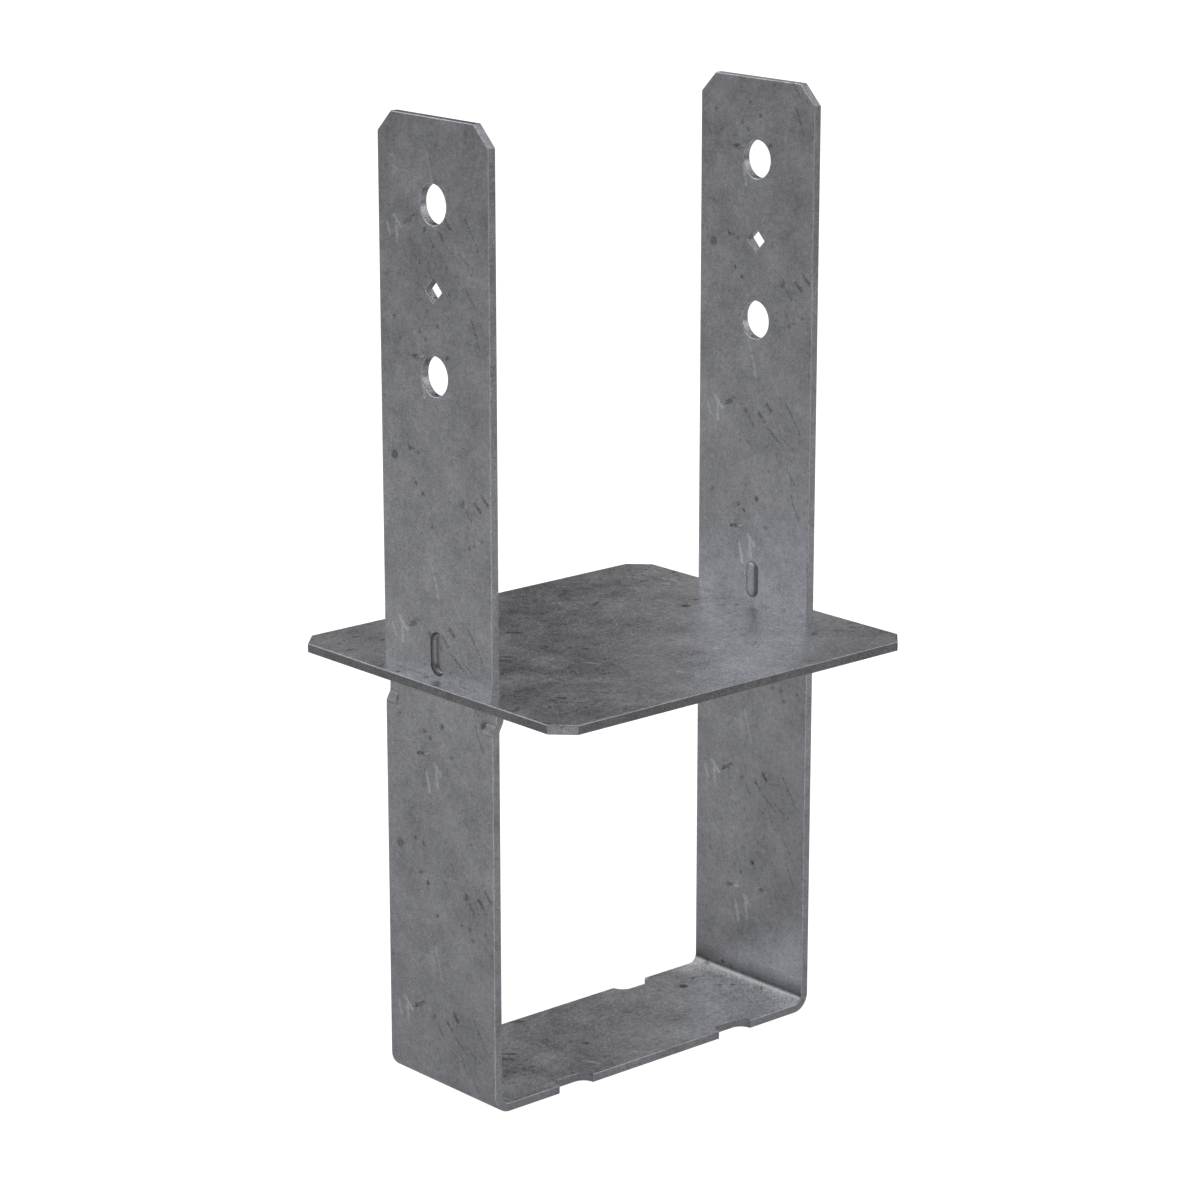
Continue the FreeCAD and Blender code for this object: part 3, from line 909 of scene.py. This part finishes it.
def zinc_material(name, look, edge_tone, clip_tone, wear_and_highlight):
    """Dipped zinc over the sheet, with its own tones on the sheared edges and on upright walls
    that face between X and Y, a painted highlight on upright arrises, and painted shade and light."""
    material, tree, surface = new_material(name)
    made = use_group(tree, zinc_skin(), Cloud=look.cloud, Grain=look.grain, Marks=look.marks,
                     Dullness=look.roughness).outputs
    rim = put(tree, "Attribute", attribute_name="rim").outputs["Fac"]
    way = put(tree, "SeparateXYZ", {0: vectors(
        tree, "ABSOLUTE", put(tree, "NewGeometry").outputs["Normal"])}).outputs
    slanting = maths(tree, "MULTIPLY", maths(tree, "MINIMUM", way[0], way[1]), math.sqrt(2))
    wall = maths(tree, "MULTIPLY_ADD", slanting, clip_tone - edge_tone, edge_tone)
    wall = maths(tree, "MULTIPLY_ADD", made["Pitting"], look.pitting, wall)
    cut = mixed(tree, ramp(tree, rim, *CUT_RIM), 1.0, wall)
    # Painted highlight along the middle of the rounded arrises of upright walls, standing for wear
    # as well
    off = maths(tree, "ABSOLUTE", maths(tree, "SUBTRACT", rim, 0.5))
    worn_and_highlit = ramp(tree, off, *WORN_AND_HIGHLIT_RIM, wear_and_highlight)
    upright = maths(tree, "SUBTRACT", 1.0, maths(tree, "MULTIPLY", way[2], math.sqrt(2)),
                    clamp=True)
    worn_and_highlit = maths(tree, "MULTIPLY", worn_and_highlit, upright)
    # Painted shade from the strap's attribute darkens the tone; below 0 it is painted light, paler
    # and less metallic
    painted_shade_and_light = put(tree, "Attribute", attribute_name="painted_shade_and_light").outputs["Fac"]
    painted_shade_and_light = maths(tree, "MULTIPLY", painted_shade_and_light, maths(tree, "SUBTRACT", 1.0, rim))
    tone = maths(tree, "MULTIPLY", made["Tone"], maths(tree, "ADD", cut, worn_and_highlit))
    tone = maths(tree, "MULTIPLY", tone, maths(tree, "MULTIPLY_ADD", painted_shade_and_light, -look.painted_shade_and_light, 1.0))
    painted_light_dullness = maths(tree, "MULTIPLY", painted_shade_and_light, -look.painted_light_dullness, clamp=True)
    bump = put(tree, "Bump", {"Height": made["Height"], "Strength": 0.35, "Distance": 0.3 * MM})
    feed(tree, surface, {"Base Color": scaled(tree, tuple(look.zinc), tone),
                         "Metallic": maths(tree, "SUBTRACT", look.metallic, painted_light_dullness),
                         "Roughness": made["Roughness"], "Normal": bump.outputs[0]})
    return material


# Stage


def bearing_vector(bearing, height):
    """The unit vector at a bearing round the object and a height above level."""
    return Vector((math.sin(bearing) * math.cos(height), -math.cos(bearing) * math.cos(height),
                   math.sin(height)))


def look_from(stage):
    """The camera's direction from the plate's middle, and its right and up."""
    back = bearing_vector(stage.azimuth, stage.elevation)
    right = Vector((0, 0, 1)).cross(back).normalized()
    return back, right, back.cross(right)


def add_camera(scene):
    """The photograph's camera, level and pointed straight along its bearing."""
    stage = scene.stage_look
    back, right, up = look_from(stage)
    data = bpy.data.cameras.new("Photo camera")
    data.lens, data.sensor_width = stage.lens, 36.0
    data.clip_start, data.clip_end = 0.05, 100.0
    camera = add_object("Photo camera", data)
    camera.location = (Vector((0, 0, scene.plate_sizes.level)) + back * stage.distance
                       + right * stage.shift_right + up * stage.shift_up)
    camera.rotation_euler = back.to_track_quat("Z", "Y").to_euler()
    scene.camera = camera


def add_strip(scene, left, right, brightness):
    """An upright strip light behind the object, between two distances to the camera's right.

    Its power is its brightness times its area times pi."""
    back, across = look_from(scene.stage_look)[:2]
    behind = Vector((-back.x, -back.y, 0)).normalized()
    data = bpy.data.lights.new("Strip light", "AREA")
    data.shape, data.size, data.size_y = "RECTANGLE", right - left, STRIP_HEIGHT
    data.energy = brightness * math.pi * data.size * data.size_y
    light = add_object("Strip light", data)
    light.location = (behind * STRIP_DISTANCE + across * (left + right) / 2
                      + Vector((0, 0, STRIP_HEIGHT / 2)))
    light.rotation_euler = behind.to_track_quat("Z", "Y").to_euler()
    light.visible_camera = False


def seen_white(tree, brightness, white):
    """A brightness for the object, and another one for the camera."""
    seen = put(tree, "LightPath").outputs["Is Camera Ray"]
    return mixed(tree, seen, brightness, white)


def glow_group():
    """A soft oval patch of light: 1 where the direction is that of its middle, falling to 0 at
    its reach. Upright distances count SQUASH times."""
    group, given, end = new_group(
        "Glow", {"Heading": "vector", "Middle": "vector", "Reach": "value"}, {"Mask": "value"})
    away = vectors(group, "SUBTRACT", given["Heading"], given["Middle"])
    away = vectors(group, "MULTIPLY", away, (1, 1, SQUASH))
    size = maths(group, "DIVIDE", measure(group, "LENGTH", away), given["Reach"])
    feed(group, end, {"Mask": ramp(group, size, *GLOW_EDGE, shape="SMOOTHSTEP")})
    return group


def add_sky(scene):
    """A dim studio with soft bright patches, and plain white to the camera."""
    stage = scene.stage_look
    world = bpy.data.worlds.new("Studio")
    world.use_nodes = True
    tree = world.node_tree
    heading = put(tree, "TexCoord").outputs["Generated"]
    glow = glow_group()
    level = stage.haze
    for (bearing, height, reach), strength in zip(GLOWS, stage.glows):
        middle = bearing_vector(math.radians(bearing), math.radians(height))
        node = use_group(tree, glow, Heading=heading, Middle=tuple(middle), Reach=reach)
        level = maths(tree, "MULTIPLY_ADD", node.outputs["Mask"], strength, level)
    feed(tree, tree.nodes["Background"], {
        "Color": (1, 1, 1, 1), "Strength": seen_white(tree, level, stage.white)})
    scene.world = world


def add_floor(scene):
    """A plain pale floor under the object.

    It glows white to the camera. Its glow on the object goes smoothly from one brightness to
    the next with the distance from the middle."""
    stage = scene.stage_look
    material, tree, surface = new_material("Pale floor")
    away = measure(tree, "LENGTH", put(tree, "TexCoord").outputs["Object"])
    glow = stage.bounce[0]
    for near, far, brightness in zip(BOUNCE_RINGS[:-1], BOUNCE_RINGS[1:], stage.bounce[1:]):
        glow = mixed(tree, ramp(tree, away, near, far), glow, brightness)
    feed(tree, surface, {
        "Base Color": (*stage.floor, 1), "Roughness": 0.9, "Specular IOR Level": 0.0,
        "Emission Color": seen_white(tree, glow, stage.white), "Emission Strength": 1.0})
    half = FLOOR_SIZE / 2
    mesh = bpy.data.meshes.new("floor")
    corners = [(-half, -half, 0), (half, -half, 0), (half, half, 0), (-half, half, 0)]
    mesh.from_pydata(corners, [], [(0, 1, 2, 3)])
    mesh.materials.append(material)
    floor = add_object("floor", mesh)


# Operators and sidebar


class POSTBASE_OT_strap(bpy.types.Operator):
    """Builds the folded strap with its holes, notches, dimples and shoulders"""

    bl_idname = "postbase.strap"
    bl_label = "Folded Strap"

    def execute(self, context):
        scene = context.scene
        look = scene.finish_look
        # The strap's arrises carry a painted highlight as well as wear
        material = zinc_material("Zinc strap", look, look.strap_edge, look.strap_edge,
                                 look.strap_wear_and_highlight)
        piece = make_piece("folded_strap", strap_patches(scene), material)
        points = np.empty(3 * len(piece.data.vertices), np.float32)
        piece.data.vertices.foreach_get("co", points)
        points = points.reshape(-1, 3).astype(float)
        # Painted shade on the pressed slopes and inner bends, and painted light beside the
        # right-hand bend, kept on the points
        painted_shade_and_light = painted_shade_and_light_at(scene, points)
        piece.data.attributes.new("painted_shade_and_light", "FLOAT", "POINT").data.foreach_set("value", painted_shade_and_light)
        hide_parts("strap")
        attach(piece, "root")
        return {"FINISHED"}


class POSTBASE_OT_plate(bpy.types.Operator):
    """Builds the slotted plate with its clipped corners"""

    bl_idname = "postbase.plate"
    bl_label = "Slotted Plate"

    def execute(self, context):
        scene = context.scene
        look = scene.finish_look
        material = zinc_material("Zinc plate", look, look.plate_edge, look.plate_clip, 0.0)
        piece = make_piece("slotted_plate", plate_patches(scene), material)
        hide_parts("plate")
        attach(piece, "root")
        return {"FINISHED"}


class POSTBASE_OT_stage(bpy.types.Operator):
    """Sets up the camera, the floor and the soft studio light"""

    bl_idname = "postbase.stage"
    bl_label = "Studio Stage"

    def execute(self, context):
        scene = context.scene
        stage = scene.stage_look
        add_camera(scene)
        add_floor(scene)
        add_sky(scene)
        for left, right, brightness in zip(STRIP_EDGES[:-1], STRIP_EDGES[1:], stage.strips):
            add_strip(scene, left, right, brightness)
        scene.view_settings.view_transform = "Standard"
        return {"FINISHED"}


class POSTBASE_PT_sidebar(bpy.types.Panel):
    """Lists the sizes, the looks and the pieces"""

    bl_label = "Post Base"
    bl_idname = "POSTBASE_PT_sidebar"
    bl_space_type = "VIEW_3D"
    bl_region_type = "UI"
    bl_category = "Post Base"

    def draw(self, context):
        layout = self.layout
        for name, kind in SETTINGS.items():
            box = layout.box()
            box.label(text=kind.__doc__.rstrip("."))
            for key in kind.__annotations__:
                box.prop(getattr(context.scene, name), key)
        for operator in OPERATORS:
            layout.operator(operator.bl_idname)


SETTINGS = {"strap_sizes": StrapSizes, "hole_sizes": HoleSizes, "press_sizes": PressSizes,
            "plate_sizes": PlateSizes, "finish_look": FinishLook, "stage_look": StageLook}
OPERATORS = (POSTBASE_OT_strap, POSTBASE_OT_plate, POSTBASE_OT_stage)


def register():
    for kind in (*SETTINGS.values(), *OPERATORS, POSTBASE_PT_sidebar):
        bpy.utils.register_class(kind)
    for name, kind in SETTINGS.items():
        setattr(bpy.types.Scene, name, PointerProperty(type=kind))


def unregister():
    for name in SETTINGS:
        delattr(bpy.types.Scene, name)
    for kind in reversed((*SETTINGS.values(), *OPERATORS, POSTBASE_PT_sidebar)):
        bpy.utils.unregister_class(kind)


def main():
    register()
    bpy.ops.postbase.strap()
    bpy.ops.postbase.plate()
    bpy.ops.postbase.stage()


if __name__ == "__main__":
    main()
